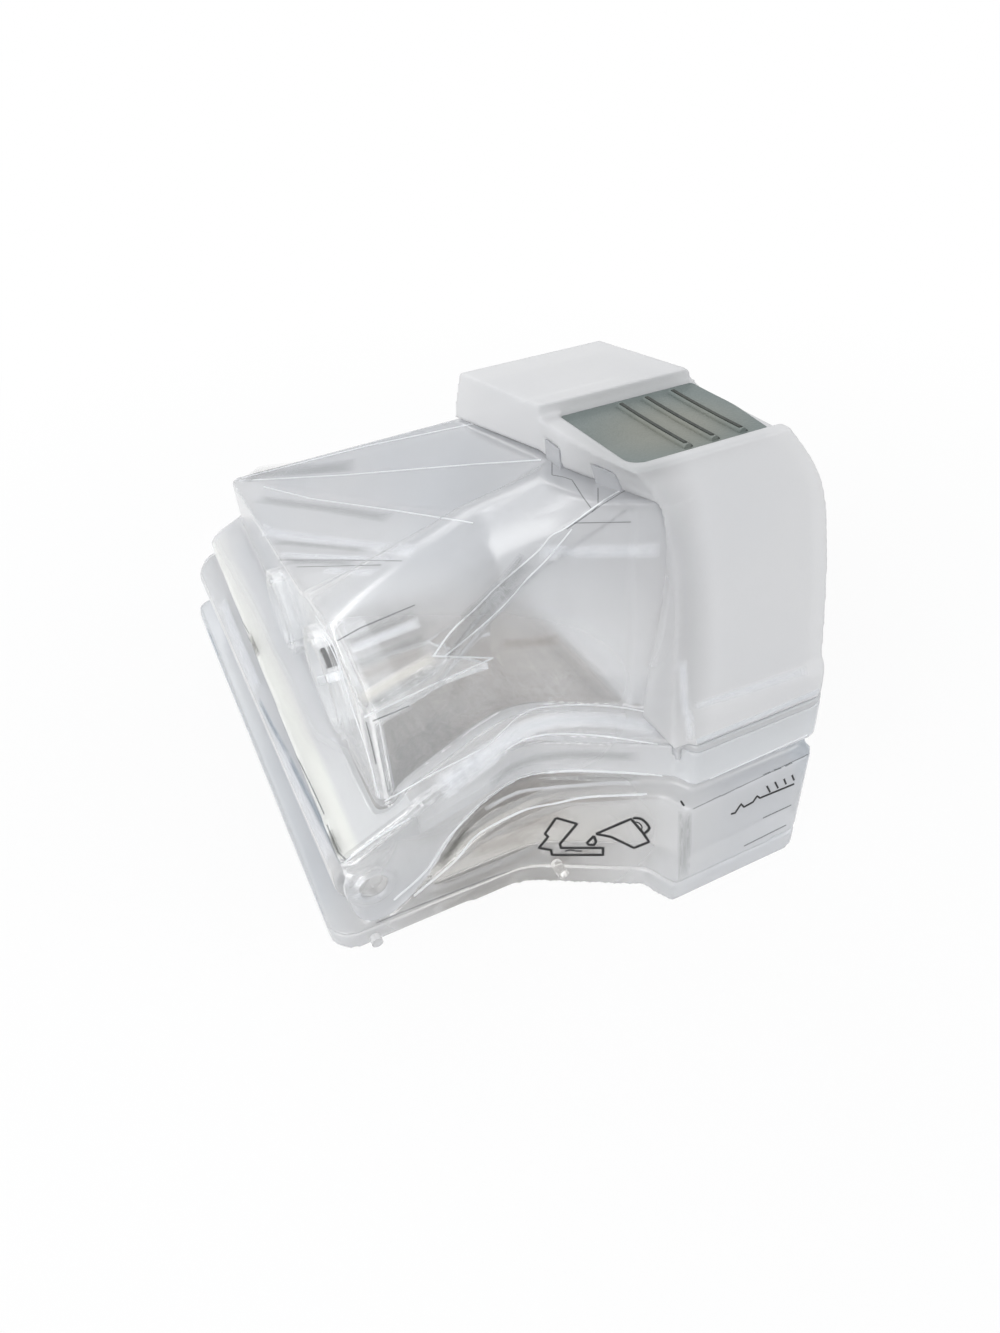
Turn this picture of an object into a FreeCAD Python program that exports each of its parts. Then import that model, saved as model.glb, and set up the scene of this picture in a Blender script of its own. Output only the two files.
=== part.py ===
import FreeCAD, Part
import math
import os

# Water tub of a bedside humidifier: a clear lower chamber with a metal heating plate in its floor,
# and a clear lid hinged along the left side, with a frosted front cover and a soft thumb grip.
#
# Working frame, millimetres: X runs from the hinge side to the grip end, Y from the wave-shaped
# near side to the straight far side, Z up. Its origin is the near left corner of the foot.
# The finished pieces are moved so that the frame's origin is under the middle of the whole tub.

V = FreeCAD.Vector

# ------------------------------------------------------------------ driving dimensions
CENTRE = V(48.25, 55.5, 0)     # middle of the overall box, in the working frame

WALL = 2.0                     # moulded wall of the tub and of the lid
COVER_WALL = 1.6               # wall of the frosted cover
COVER_GAP = 0.15               # air between the cover and the lid beneath it
SEAM = 0.05                    # parting line between two pieces of one body

FRAME_TOP = 3.6                # seam between the bottom frame and the tub
FLOOR_LOW = 5.6
FLOOR_TOP = 7.6
LEDGE_Z = 19.5                 # outer ledge of the tub, away from the hinge
LEDGE_HINGE_Z = 4.3            # the same ledge beside the hinge
RIM_Z = 22.7                   # top of the tub's inner wall
SEAL_LOW = 22.85
SEAL_TOP = 25.0
SKIRT_Z = 23.7                 # lower edge of the lid's skirt, away from the hinge
SKIRT_WALL = 2.2
FLANGE = 1.6                   # thickness of the flat ledge round the lid
RIM_TOP = 33.0                 # top of that ledge, away from the hinge
CORE_INSET = 2.8               # from the skirt's outer face to the tub's inner wall
SEAL_INSET = 2.4

HINGE_X = 9.0
HINGE_Z = 16.5
BARREL_R = 6.2                 # rounded hinge barrel along the tub's left wall
BARREL_BORE_R = 4.2
BARREL_Y = (1.2, 118.8)
BARREL_CAP = 3.0
BARREL_FOOT_Z = 12.0
PIN_R = 2.6
PIN_CLEARANCE = 0.06
PIN_ROOT = 2.0                 # how deep a pin sits in the barrel's end
PIN_END_GAP = 0.2
EAR_GAP_Y = (0.4, 119.6)       # the lid's near and far hinge ears stand outside this span
EAR_GAP_X = 12.0
LUG_R = 5.1                    # round lug of each ear
HUB_R = 3.9                    # raised ring round each ear's hole
HUB_T = 0.5

PLATE_X = (20.0, 80.0)         # opening of the floor over the metal plate
PLATE_Y = (12.0, 100.0)
PLATE_RIM = 4.0
PLATE_T = 1.0
PLATE_CORNER = 6.0
PAN_PLAY = 0.4                 # air between the plate's pan and the openings round it

PORTS = {"inlet": (26.0, 41.0, 8.0, 27.0), "outlet": (59.0, 37.0, 6.4, 32.0)}  # y, z, bore, duct end
VANE = [(20.6, 16.7), (41.0, 16.7), (34.0, 26.6), (20.6, 26.6)]   # x, y of the inlet duct's flat vane
VANE_Z = (39.7, 41.1)
PORT_RING = 1.5
PORT_FACE_X = 12.6
PORT_LENGTH = 8.0
PORT_SEAL = 1.4                # soft ring round each port, against the left wall
DUCT_STEP = 0.3                # the ducts are this much wider inside than the port rings
DUCT_LIP = 1.0
BAFFLE_Y = (43.4, 45.0)
BAFFLE_X = (15.0, 52.0)
BAFFLE_LOW = 27.0

PANEL_FOOT = (-11.8, 39.2)     # y, z of the cover's leaning front face at its foot
PANEL_TOP = (-1.7, 81.0)       # and at its top
FLARE = [(-14.4, RIM_TOP + SEAM), (-13.2, 37.6), (-11.9, 39.6), (-11.0, 39.6),
         (-11.0, RIM_TOP + SEAM)]   # lip round the panel's foot, as y, z
FLARE_X = (65.6, 95.0)
GRIP_Z = 81.0
SHOULDER_Z = 83.2
SHOULDER_Y = 24.3
COVER_BACK_Y = 46.5
SHOULDER_SHIFT = -5.0          # the cover's far end leans this much towards the hinge side
COVER_SIDE_Z = 74.9            # lower edge of the cover beside the clear roof
COVER_SIDE_Y = -2.9            # where that edge begins, behind the leaning front face
COVER_BACK_Z = 75.6            # lower edge of the cover's far wall
TRAY_LOW = 77.5                # underside of the tray that carries the grip
PAD_LOW = 78.9
CAP_Z = 77.3                   # top of the clear shell beneath the cover
ROOF_Z = 74.6                  # highest point of the clear roof beside the cover
LOWER_FRONT_Y = -11.5          # the lid's inner front wall, below the ledge

PAD = [(61.6, 1.0, 2.5), (87.2, 1.0, 1.0), (88.9, 12.0, 30.0), (88.5, 24.0, 0.8), (61.6, 24.0, 0.8)]
PAD_Z = 80.5
PAD_SAG = 0.2                  # hollow of the thumb grip
SHOULDER_END = [(87.9, 84.0), (88.8, 80.4), (90.9, 78.6), (96.0, 78.6), (96.0, 84.0)]  # x, z cut off it
RIDGES_X = (72.4, 77.5, 82.9)
RIDGE_Y = (2.0, 22.0)
RIDGE_R = 0.7
CLIPS_Y = (4.5, 17.0)          # clips between the clear roof and the cover's left wall
CLIP_WIDTH = 5.0
CLIP_TOP = 78.2

LATCH_Y = (4.0, 22.0)
LATCH_GAP = 0.4
LATCH_Z = (20.3, 30.9)
LATCH_PIVOT = (94.6, 30.0)
TRUNNION_R = 0.8
TRUNNION_REACH = 1.2
CATCH_X = (91.8, 93.35)        # ridge on the tub's end wall that the tab snaps over
CATCH_Y = (8.0, 18.0)
CATCH_Z = (21.2, 22.4)

PIP_NEAR = V(7.4, 0.0, 1.2)    # small locating pips along the near foot
PIP_WAVE = V(43.6, -5.0, 4.6)
PIP_R = 1.1
PIP_LENGTH = 1.6

# ------------------------------------------------------------------ outlines: (x, y, corner radius)
# Foot of the tub, level with the surface it stands on.
FOOT = [(0.0, 0.0, 5.0), (37.6, -0.7, 14.0), (57.3, -12.8, 2.5), (59.9, -19.0, 1.5),
        (90.0, -18.6, 4.0), (91.5, 24.0, 60.0), (80.0, 130.0, 14.0), (0.3, 130.0, 5.0)]
# The tub's outer wall at the ledge.
LEDGE = [(0.0, -0.3, 5.0), (44.5, -0.7, 14.0), (62.5, -10.2, 2.5), (64.9, -15.7, 1.5),
         (94.6, -15.1, 4.0), (96.2, 24.0, 60.0), (84.2, 123.4, 14.0), (0.4, 123.4, 5.0)]
# Outer face of the lid's skirt and rim.
RIM = [(4.4, -1.8, 3.0), (18.0, -1.8, 40.0), (41.5, 3.6, 12.0), (64.3, -10.8, 2.5),
       (66.0, -14.6, 1.5), (95.3, -14.6, 4.0), (96.0, 24.0, 60.0), (84.0, 121.8, 12.0),
       (8.0, 121.8, 4.0)]
# The same outline for the tub's inner wall, which stops beside the hinge barrel.
CORE_LEFT_X = HINGE_X - WALL - CORE_INSET
CORE = [(CORE_LEFT_X, RIM[0][1], 3.4)] + RIM[1:-1] + [(CORE_LEFT_X, RIM[-1][1], 3.4)]
# Outer face of the lid's upper wall, with the wave on its near side.
UPPER = [(13.8, 2.8, 2.0), (44.5, 11.6, 12.0), (70.5, -5.2, 2.0), (93.0, -5.2, 2.0),
         (93.3, 24.0, 60.0), (81.3, 119.2, 12.0), (17.0, 119.2, 3.0)]
FRONT_JOIN_X = 72.0            # left of this the near side is the clear roof, right of it the front box
DOORWAY = (V(74.0, 40.0, 20.0), V(12.0, 12.0, 50.0))   # air passage through the front box's back wall

# Edges that dive towards the hinge, as (x, z): the skirt's lower edge and the tub's ledge.
SKIRT_EDGE = [(4.0, 11.5), (5.6, 8.6), (9.0, 7.2), (13.0, 8.4), (16.5, 10.8), (20.0, 13.7),
              (23.0, 16.8), (26.5, 19.8), (30.3, 21.7), (36.0, 22.8), (44.0, 23.5), (52.0, SKIRT_Z)]
LEDGE_EDGE = [(11.0, LEDGE_HINGE_Z), (15.0, 7.2), (19.7, 10.6), (25.0, 13.6), (29.0, 16.0),
              (34.0, 18.0), (40.0, 19.1), (48.0, LEDGE_Z)]
# Top of the lid's flat ledge, sloping down to the hinge.
LEDGE_SLOPE = [(-1.1, 22.0), (20.0, 31.2), (34.0, RIM_TOP), (150.0, RIM_TOP)]

# Ridge points of the faceted roof.
APEX = V(18.0, 119.2, 41.5)    # far left corner, where all the creases meet
HIP_BACK = V(51.0, 47.0, 74.4)
HIP_MID = V(57.0, 22.0, 74.2)
VALLEY = V(46.0, 30.0, 63.5)
VAULT_FOOT = V(14.0, 37.0, 53.0)
FACETS_FROM = [(-40.0, 40.0), (140.0, -4.5), (140.0, 160.0), (-40.0, 160.0)]
# The vaulted air channel: near spring point, crown and far spring point at stations along X.
VAULT_STATIONS = [(9.0, (2.6, 49.2), (20.3, 54.9), (39.3, 51.2)),
                  (14.0, (4.0, 50.9), (20.0, 57.0), (38.0, 52.8)),
                  (28.5, (8.0, 51.8), (19.25, 62.9), (34.5, 57.5)),
                  (43.0, (11.6, 60.6), (18.5, 68.8), (31.0, 62.3)),
                  (58.0, (4.2, 75.6), (12.0, 76.8), (21.0, 75.0)),
                  (75.0, (-4.0, 91.0), (5.0, 92.0), (11.0, 90.0))]
VAULT_BEVEL = (10.0, 6.0)      # the near flank slopes off by this much, out and down
# The near wall steps back by this much below the band under the vault's edge, as (x, z).
NEAR_STEP = 0.7
NEAR_PANEL = [(16.0, 28.7), (20.0, 30.4), (34.0, 32.2), (62.0, 32.2), (62.0, 74.6), (58.0, 70.7),
              (43.0, 56.2), (28.5, 47.5), (16.0, 46.8)]

# Front box of the lid as (x, z): up its left side near the front, at the shoulder and at its far
# end, where the side flares out at its foot, then down its right side.
BOX_NEAR = [(65.0, 20.0), (64.2, 50.0), (65.2, 70.0), (63.4, 76.4), (61.1, 80.0), (57.0, 84.0)]
BOX_BACK = [(65.0, 20.0), (64.2, 50.0), (61.0, 66.0), (58.0, 74.0), (57.7, 80.0), (57.7, 84.0)]
BOX_FAR = [(65.0, 20.0), (64.2, 50.0), (60.0, 66.0), (56.4, 74.0), (57.0, 79.0), (58.2, 84.0)]
BOX_RIGHT = [(87.2, 84.0), (90.7, 79.2), (95.4, 71.4), (96.5, 63.0), (95.5, 46.0), (94.2, 20.0)]
BOX_TURN_Y = (-2.0, 17.0)      # the left side changes from one to the other between these

TALL = 200.0                   # larger than the object in every direction
LOW = -40.0                    # well before the near side, and below the foot
UNDER = 15.0                   # below every part of the lid


# ------------------------------------------------------------------ drawing helpers
def unit(a, b):
    """Direction in plan from corner a to corner b."""
    return V(b[0] - a[0], b[1] - a[1], 0).normalize()


def sides(corners, i):
    """Directions of the two sides that meet at corner i."""
    following = corners[(i + 1) % len(corners)]
    return unit(corners[i - 1], corners[i]), unit(corners[i], following)


def inset_corners(corners, d):
    """The outline moved inwards by d. Its corners run anticlockwise seen from above."""
    moved = []
    for i, (x, y, r) in enumerate(corners):
        before, after = sides(corners, i)
        turns_left = before.x * after.y - before.y * after.x > 0
        n0 = V(-before.y, before.x, 0)
        n1 = V(-after.y, after.x, 0)
        shift = (n0 + n1) * (d / (1.0 + n0.dot(n1)))
        radius = max(r - d, 0.4) if turns_left else r + d
        moved.append((x + shift.x, y + shift.y, radius))
    return moved


def outline_wire(corners, z):
    """Closed wire at height z: straight sides joined by tangent arcs."""
    arcs = []
    for i, (x, y, r) in enumerate(corners):
        before, after = sides(corners, i)
        half = before.getAngle(after) / 2
        corner = V(x, y, z)
        inward = (after - before).normalize()
        reach = r * math.tan(half)
        depth = r / math.cos(half) - r
        arcs.append((corner - before * reach, corner + inward * depth, corner + after * reach))
    edges = []
    for i, arc in enumerate(arcs):
        following = arcs[(i + 1) % len(arcs)]
        edges.append(Part.Arc(*arc).toShape())
        edges.append(Part.LineSegment(arc[2], following[0]).toShape())
    return Part.Wire(edges)


def prism(corners, low, high):
    """Upright solid on an outline."""
    return Part.Face(outline_wire(corners, low)).extrude(V(0, 0, high - low))


def block(low, size):
    return Part.makeBox(size.x, size.y, size.z, low)


def span(x, y, z):
    """Block between two limits along each axis."""
    return block(V(x[0], y[0], z[0]), V(x[1] - x[0], y[1] - y[0], z[1] - z[0]))


def rod_y(x, z, radius, y):
    """Cylinder along Y between two limits."""
    return Part.makeCylinder(radius, y[1] - y[0], V(x, y[0], z), V(0, 1, 0))


def rod_x(y, z, radius, x):
    """Cylinder along X between two limits."""
    return Part.makeCylinder(radius, x[1] - x[0], V(x[0], y, z), V(1, 0, 0))


def extruded_y(outline, y):
    """Solid on an outline of (x, z) between two limits along Y."""
    corners = [V(x, y[0], z) for x, z in outline + outline[:1]]
    return Part.Face(Part.makePolygon(corners)).extrude(V(0, y[1] - y[0], 0))


def smooth(points):
    """Curve through the given points."""
    curve = Part.BSplineCurve()
    curve.interpolate(points)
    return curve.toShape()


def line(a, b):
    return Part.LineSegment(a, b).toShape()


def above_edge(edge, top):
    """Everything above a curve given as (x, z), through the whole depth, up to top."""
    points = [V(x, LOW, z) for x, z in edge]
    start = V(LOW, LOW, points[0].z)
    end = V(TALL, LOW, points[-1].z)
    outline = [line(start, points[0]), smooth(points), line(points[-1], end),
               line(end, V(TALL, LOW, top)), line(V(TALL, LOW, top), V(LOW, LOW, top)),
               line(V(LOW, LOW, top), start)]
    return Part.Face(Part.Wire(outline)).extrude(V(0, TALL, 0))


def under_plane(a, b, c, drop):
    """Everything beneath the plane through three points, lowered square to itself by drop."""
    normal = (b - a).cross(c - a).normalize()
    if normal.z < 0:
        normal = -normal
    side = 3 * TALL
    slab = Part.makeBox(side, side, side, V(-side / 2, -side / 2, -side))
    slab.Placement = FreeCAD.Placement(a - normal * drop, FreeCAD.Rotation(V(0, 0, 1), normal))
    return slab


def joined(shapes):
    """One solid from pieces that overlap or touch."""
    whole = shapes[0]
    for shape in shapes[1:]:
        whole = whole.fuse(shape)
    return whole.removeSplitter()


# ------------------------------------------------------------------ lower chamber
def tub_corners(z, d):
    """Outline of the tub's outer wall at height z, moved inwards by d."""
    share = z / LEDGE_Z
    corners = []
    for foot, ledge in zip(FOOT, LEDGE):
        corners.append(tuple(f + (l - f) * share for f, l in zip(foot, ledge)))
    return inset_corners(corners, d)


def tub_loft(low, high, d):
    """The tub's flared outer form between two heights."""
    wires = [outline_wire(tub_corners(low, d), low), outline_wire(tub_corners(high, d), high)]
    return Part.makeLoft(wires, True, True)


def plate_outline(grow):
    """Rounded rectangle round the opening over the metal plate."""
    low = V(PLATE_X[0] - grow, PLATE_Y[0] - grow, 0)
    high = V(PLATE_X[1] + grow, PLATE_Y[1] + grow, 0)
    r = PLATE_CORNER + grow
    return [(low.x, low.y, r), (high.x, low.y, r), (high.x, high.y, r), (low.x, high.y, r)]


def make_bottom_frame():
    frame = tub_loft(0, FRAME_TOP - SEAM, 0)
    return frame.cut(prism(plate_outline(0), LOW, TALL))


def make_heater_plate():
    """Flat rim with a pressed pan that reaches down to the heater."""
    pan = prism(plate_outline(-PAN_PLAY), 0, FRAME_TOP + PLATE_T)
    rim = prism(plate_outline(PLATE_RIM), FRAME_TOP, FRAME_TOP + PLATE_T)
    hollow = prism(plate_outline(-PAN_PLAY - PLATE_T), PLATE_T, TALL)
    return joined([pan, rim]).cut(hollow)


def make_plate_gasket():
    ring = prism(plate_outline(PLATE_RIM), FRAME_TOP + PLATE_T, FLOOR_LOW)
    return ring.cut(prism(plate_outline(0), LOW, TALL))


def ledge_zone(drop):
    """Everything above the tub's outer ledge, which is lowered by drop."""
    return above_edge([(x, z - drop) for x, z in LEDGE_EDGE], TALL)


def inner_wall(d, low, high):
    """The tub's inner wall, kept inside the flared outer form, right of the hinge axis."""
    wall = prism(inset_corners(CORE, CORE_INSET + d), low, high)
    return wall.common(tub_loft(low, high, d)).common(span((HINGE_X, TALL), (LOW, TALL), (LOW, TALL)))


def make_base_tub():
    outer = tub_loft(FRAME_TOP, LEDGE_Z, 0).cut(ledge_zone(0))
    inner = inner_wall(0, FRAME_TOP, RIM_Z)
    barrel = rod_y(HINGE_X, HINGE_Z, BARREL_R, BARREL_Y)
    left_wall = span((HINGE_X - WALL, HINGE_X), BARREL_Y, (FRAME_TOP, BARREL_FOOT_Z))
    body = joined([outer, inner, barrel, left_wall])
    low_room = tub_loft(FLOOR_TOP, LEDGE_Z, WALL).cut(ledge_zone(WALL))
    low_room = low_room.common(span((HINGE_X, TALL), (LOW, TALL), (LOW, TALL)))
    high_room = inner_wall(WALL, FLOOR_TOP, RIM_Z + WALL)
    caps = (BARREL_Y[0] + BARREL_CAP, BARREL_Y[1] - BARREL_CAP)
    body = body.cut(joined([low_room, high_room, rod_y(HINGE_X, HINGE_Z, BARREL_BORE_R, caps)]))
    body = body.cut(prism(plate_outline(0), LOW, FLOOR_TOP + WALL))
    body = body.cut(prism(plate_outline(PLATE_RIM), LOW, FLOOR_LOW))
    for pin in pin_rods():
        body = body.cut(pin)
    return joined([body, span(CATCH_X, CATCH_Y, CATCH_Z)]).Solids[0]


def pin_rods():
    """The hinge pins, rooted in the barrel's ends and reaching through the lid's ears."""
    near = (RIM[0][1] + PIN_END_GAP, BARREL_Y[0] + PIN_ROOT)
    far = (BARREL_Y[1] - PIN_ROOT, RIM[-1][1] - PIN_END_GAP)
    return [rod_y(HINGE_X, HINGE_Z, PIN_R, near), rod_y(HINGE_X, HINGE_Z, PIN_R, far)]


def make_locating_pips():
    """Two small round pips on the near side of the foot."""
    foot = joined([tub_loft(0, FRAME_TOP, 0), tub_loft(FRAME_TOP, LEDGE_Z, 0)])
    pips = []
    for spot in (PIP_NEAR, PIP_WAVE):
        reach = (spot.y - PIP_LENGTH, spot.y + PIP_LENGTH)
        pips.append(rod_y(spot.x, spot.z, PIP_R, reach).cut(foot))
    return Part.makeCompound([pip.Solids[0] for pip in pips])


# ------------------------------------------------------------------ lid: clear shell
def vault_section(x, near, crown, far, drop):
    """Cross-section of the vaulted channel at one station."""
    out, down = VAULT_BEVEL
    a = V(x, near[0] + drop, near[1] - drop)
    m = V(x, crown[0], crown[1] - drop)
    b = V(x, far[0] - drop, far[1] - drop)
    flank = V(x, a.y - out, a.z - down)
    toe_near = V(x, a.y - out, UNDER)
    toe_far = V(x, b.y, UNDER)
    return Part.Wire([Part.Arc(a, m, b).toShape(), line(b, toe_far), line(toe_far, toe_near),
                      line(toe_near, flank), line(flank, a)])


def vault(drop):
    wires = [vault_section(*station, drop) for station in VAULT_STATIONS]
    return Part.makeLoft(wires, True, True)


def facets(drop):
    """The clear roof's creased fan, rising from the apex to the shoulder."""
    back = V(TALL, APEX.y, APEX.z)
    fan = [under_plane(APEX, VAULT_FOOT, VALLEY, drop),
           under_plane(APEX, VALLEY, HIP_MID, drop),
           under_plane(APEX, HIP_MID, HIP_BACK, drop)]
    beyond = Part.Face(Part.makePolygon([V(x, y, UNDER) for x, y in FACETS_FROM + FACETS_FROM[:1]]))
    beyond = beyond.extrude(V(0, 0, TALL))
    roofs = [vault(drop)] + [plane.common(beyond) for plane in fan]
    return roofs, under_plane(APEX, HIP_BACK, back, drop)


def front_half_space(d, foot_y):
    """Everything behind the leaning front face, moved inwards by d, and behind foot_y."""
    foot = V(0, *PANEL_FOOT)
    lean = V(0, *PANEL_TOP) - foot
    normal = V(0, lean.z, -lean.y).normalize()
    side = 3 * TALL
    behind = Part.makeBox(side, side, side, V(-side / 2, -side / 2, 0))
    behind.Placement = FreeCAD.Placement(foot + normal * d, FreeCAD.Rotation(V(0, 0, 1), normal))
    return behind.common(span((LOW, TALL), (foot_y, TALL), (LOW, TALL)))


def box_section(y, side, shift, d):
    left = [V(x + shift + d, y, z) for x, z in side]
    right = [V(x + shift - d, y, z) for x, z in BOX_RIGHT]
    return Part.Wire([smooth(left), line(left[-1], right[0]), smooth(right), line(right[-1], left[0])])


def front_box(d, back_y):
    """The lid's front box, with sides moved inwards by d. Its far part leans to the hinge side."""
    run = (back_y - SHOULDER_Y) / (COVER_BACK_Y - SHOULDER_Y)
    wires = [box_section(LOW, BOX_NEAR, 0, d), box_section(BOX_TURN_Y[0], BOX_NEAR, 0, d),
             box_section(BOX_TURN_Y[1], BOX_BACK, 0, d), box_section(SHOULDER_Y, BOX_BACK, 0, d),
             box_section(back_y, BOX_FAR, SHOULDER_SHIFT * run, d)]
    return Part.makeLoft(wires, True, True)


def lid_form(d, low):
    """Outer form of the clear shell, with walls and roof moved inwards by d."""
    roofs, back = facets(d)
    plan = prism(inset_corners(UPPER, d), low, ROOF_Z - d)
    room = joined([span((LOW, FRONT_JOIN_X), (LOW, TALL), (LOW, TALL)),
                   span((LOW, TALL), (COVER_BACK_Y + COVER_GAP, TALL), (LOW, TALL))])
    plan = plan.common(back).common(room)
    roofed = joined([plan.common(roof) for roof in roofs])
    front = front_box(COVER_WALL + COVER_GAP + d, COVER_BACK_Y - d)
    front = front.common(span((LOW, TALL), (LOW, TALL), (low, CAP_Z - d)))
    front = front.common(back)
    form = joined([roofed, front])
    return form.common(front_half_space(COVER_WALL + COVER_GAP + d, LOWER_FRONT_Y + d))


def ledge_slab(thick):
    """The lid's flat ledge seen from the near side: it slopes down to the hinge."""
    top = [V(x, LOW, z) for x, z in LEDGE_SLOPE]
    underside = [point - V(0, 0, thick) for point in reversed(top)]
    outline = Part.makePolygon(top + underside + top[:1])
    return Part.Face(outline).extrude(V(0, TALL, 0))


def near_panel():
    """Shallow recess of the wave-shaped near wall, which leaves a proud band above it."""
    skin = prism(UPPER, LOW, TALL).cut(prism(inset_corners(UPPER, NEAR_STEP), LOW, TALL))
    return skin.common(extruded_y(NEAR_PANEL, (LOW, UPPER[1][1] + NEAR_STEP)))


def make_lid_shell():
    ledge = prism(RIM, UNDER, TALL).common(ledge_slab(FLANGE))
    shell = joined([lid_form(0, SEAL_TOP).cut(near_panel()), ledge]).cut(lid_form(WALL, UNDER))
    shell = shell.cut(block(*DOORWAY))
    for y, z, bore, end in PORTS.values():
        shell = shell.cut(rod_x(y, z, bore + PORT_RING, (0, PORT_FACE_X + PORT_LENGTH)))
    return shell.removeSplitter().Solids[0]


def make_lid_skirt():
    """Outer skirt of the lid, which dives to a hinge ear at each end of the left side."""
    ring = prism(RIM, 0, RIM_TOP).cut(prism(inset_corners(RIM, SKIRT_WALL), LOW, TALL))
    ring = ring.common(above_edge(SKIRT_EDGE, TALL))
    under = ledge_slab(TALL / 2)
    under.translate(V(0, 0, -FLANGE))
    ring = ring.common(under)
    ring = ring.cut(span((LOW, EAR_GAP_X), EAR_GAP_Y, (LOW, TALL)))
    for face, back in ((RIM[0][1], EAR_GAP_Y[0]), (EAR_GAP_Y[1], RIM[-1][1])):
        ring = ring.fuse(rod_y(HINGE_X, HINGE_Z, LUG_R, (face, back)))
    for y in (RIM[0][1], RIM[-1][1]):
        ring = ring.fuse(rod_y(HINGE_X, HINGE_Z, HUB_R, (y - HUB_T, y + HUB_T)))
    ring = ring.cut(rod_y(HINGE_X, HINGE_Z, PIN_R + PIN_CLEARANCE, (LOW, TALL)))
    window = span((LATCH_PIVOT[0] - WALL * 2, TALL), LATCH_Y, (LOW, RIM_TOP - FLANGE - SEAM))
    ring = ring.cut(window)
    ring = ring.cut(rod_y(*LATCH_PIVOT, TRUNNION_R + PIN_CLEARANCE, trunnion_span(PIN_CLEARANCE)))
    ring = ring.cut(lid_form(-SEAM, SEAL_TOP - SEAM))
    return ring.removeSplitter().Solids[0]


def trunnion_span(play):
    reach = TRUNNION_REACH + play
    return (LATCH_Y[0] - reach, LATCH_Y[1] + reach)


def make_latch_tab():
    """Springy tab in the skirt's end wall, swinging on two small trunnions."""
    ring = prism(RIM, *LATCH_Z).cut(prism(inset_corners(RIM, SKIRT_WALL), LOW, TALL))
    wide = (LATCH_Y[0] + LATCH_GAP, LATCH_Y[1] - LATCH_GAP)
    tab = ring.common(span((LATCH_PIVOT[0] - WALL * 2, TALL), wide, LATCH_Z))
    return joined([tab, rod_y(*LATCH_PIVOT, TRUNNION_R, trunnion_span(0))])


def under_ledge():
    """Everything beneath the sloping part of the ledge."""
    under = ledge_slab(TALL / 2)
    under.translate(V(0, 0, -FLANGE - SEAM))
    return under


def seal_left_x():
    """Where the wide strip ends and the narrow seal begins."""
    return UPPER[-1][0] + WALL


def make_hinge_seal_strip():
    """Wide soft strip along the hinge side, under the clear ledge."""
    strip = prism(inset_corners(RIM, LATCH_GAP), SEAL_LOW, TALL / 2)
    strip = strip.common(span((LOW, seal_left_x()), (EAR_GAP_Y[0] + LATCH_GAP, EAR_GAP_Y[1] - LATCH_GAP),
                              (LOW, TALL)))
    return strip.common(under_ledge()).cut(prism(inset_corners(UPPER, -SEAM), LOW, TALL)).Solids[0]


def make_lid_seal():
    """Soft ring between the lid's inner wall and the tub's rim."""
    ring = prism(inset_corners(RIM, SEAL_INSET), SEAL_LOW, SEAL_TOP - SEAM).cut(lid_form(WALL, UNDER))
    ring = ring.cut(span((LOW, seal_left_x() + SEAM), (LOW, TALL), (LOW, TALL)))
    return ring.common(under_ledge()).Solids[0]


# ------------------------------------------------------------------ lid: cover and grip
def cover_form(d, caps):
    """Solid form of the frosted cover, with sides moved inwards by d and the given top heights."""
    grip_top, shoulder_top = caps
    form = front_box(d, COVER_BACK_Y - d).common(front_half_space(d, LOW))
    step = span((LOW, TALL), (LOW, SHOULDER_Y + d), (grip_top, TALL))
    end = extruded_y([(x - d, z) for x, z in SHOULDER_END], (SHOULDER_Y + d, TALL))
    return form.cut(step).cut(end).cut(span((LOW, TALL), (LOW, TALL), (shoulder_top, TALL)))


def pad_seat():
    """Room for the grip pad, open towards the cover's right end."""
    rows = (PAD[0][1] - SEAM, PAD[-1][1] + SEAM)
    beside = span((RIDGES_X[-1], TALL), rows, (PAD_LOW, TALL))
    return joined([prism(inset_corners(PAD, -SEAM), PAD_LOW, TALL), beside])


def cover_flare():
    """Lip that widens the panel's foot towards the lid's ledge."""
    corners = [V(FLARE_X[0], y, z) for y, z in FLARE + FLARE[:1]]
    lip = Part.Face(Part.makePolygon(corners)).extrude(V(FLARE_X[1] - FLARE_X[0], 0, 0))
    return lip.common(prism(inset_corners(RIM, COVER_GAP), 0, TALL))


def make_lid_cover():
    outer = cover_form(0, (GRIP_Z, SHOULDER_Z))
    outer = outer.common(span((LOW, TALL), (LOW, TALL), (RIM_TOP + SEAM, TALL)))
    hollow = cover_form(COVER_WALL, (TRAY_LOW, SHOULDER_Z - COVER_WALL))
    cover = joined([outer, cover_flare()]).cut(hollow)
    beside = span((LOW, FRONT_JOIN_X - WALL), (COVER_SIDE_Y, TALL), (LOW, COVER_SIDE_Z))
    cover = cover.cut(beside)
    behind = front_box(COVER_WALL, COVER_BACK_Y + COVER_WALL)
    behind = behind.common(span((LOW, TALL), (SHOULDER_Y, TALL), (LOW, COVER_BACK_Z)))
    cover = cover.cut(behind)
    for slot in clip_blocks(SEAM):
        cover = cover.cut(slot)
    cover = cover.cut(pad_seat())
    return cover.removeSplitter().Solids[0]


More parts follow.
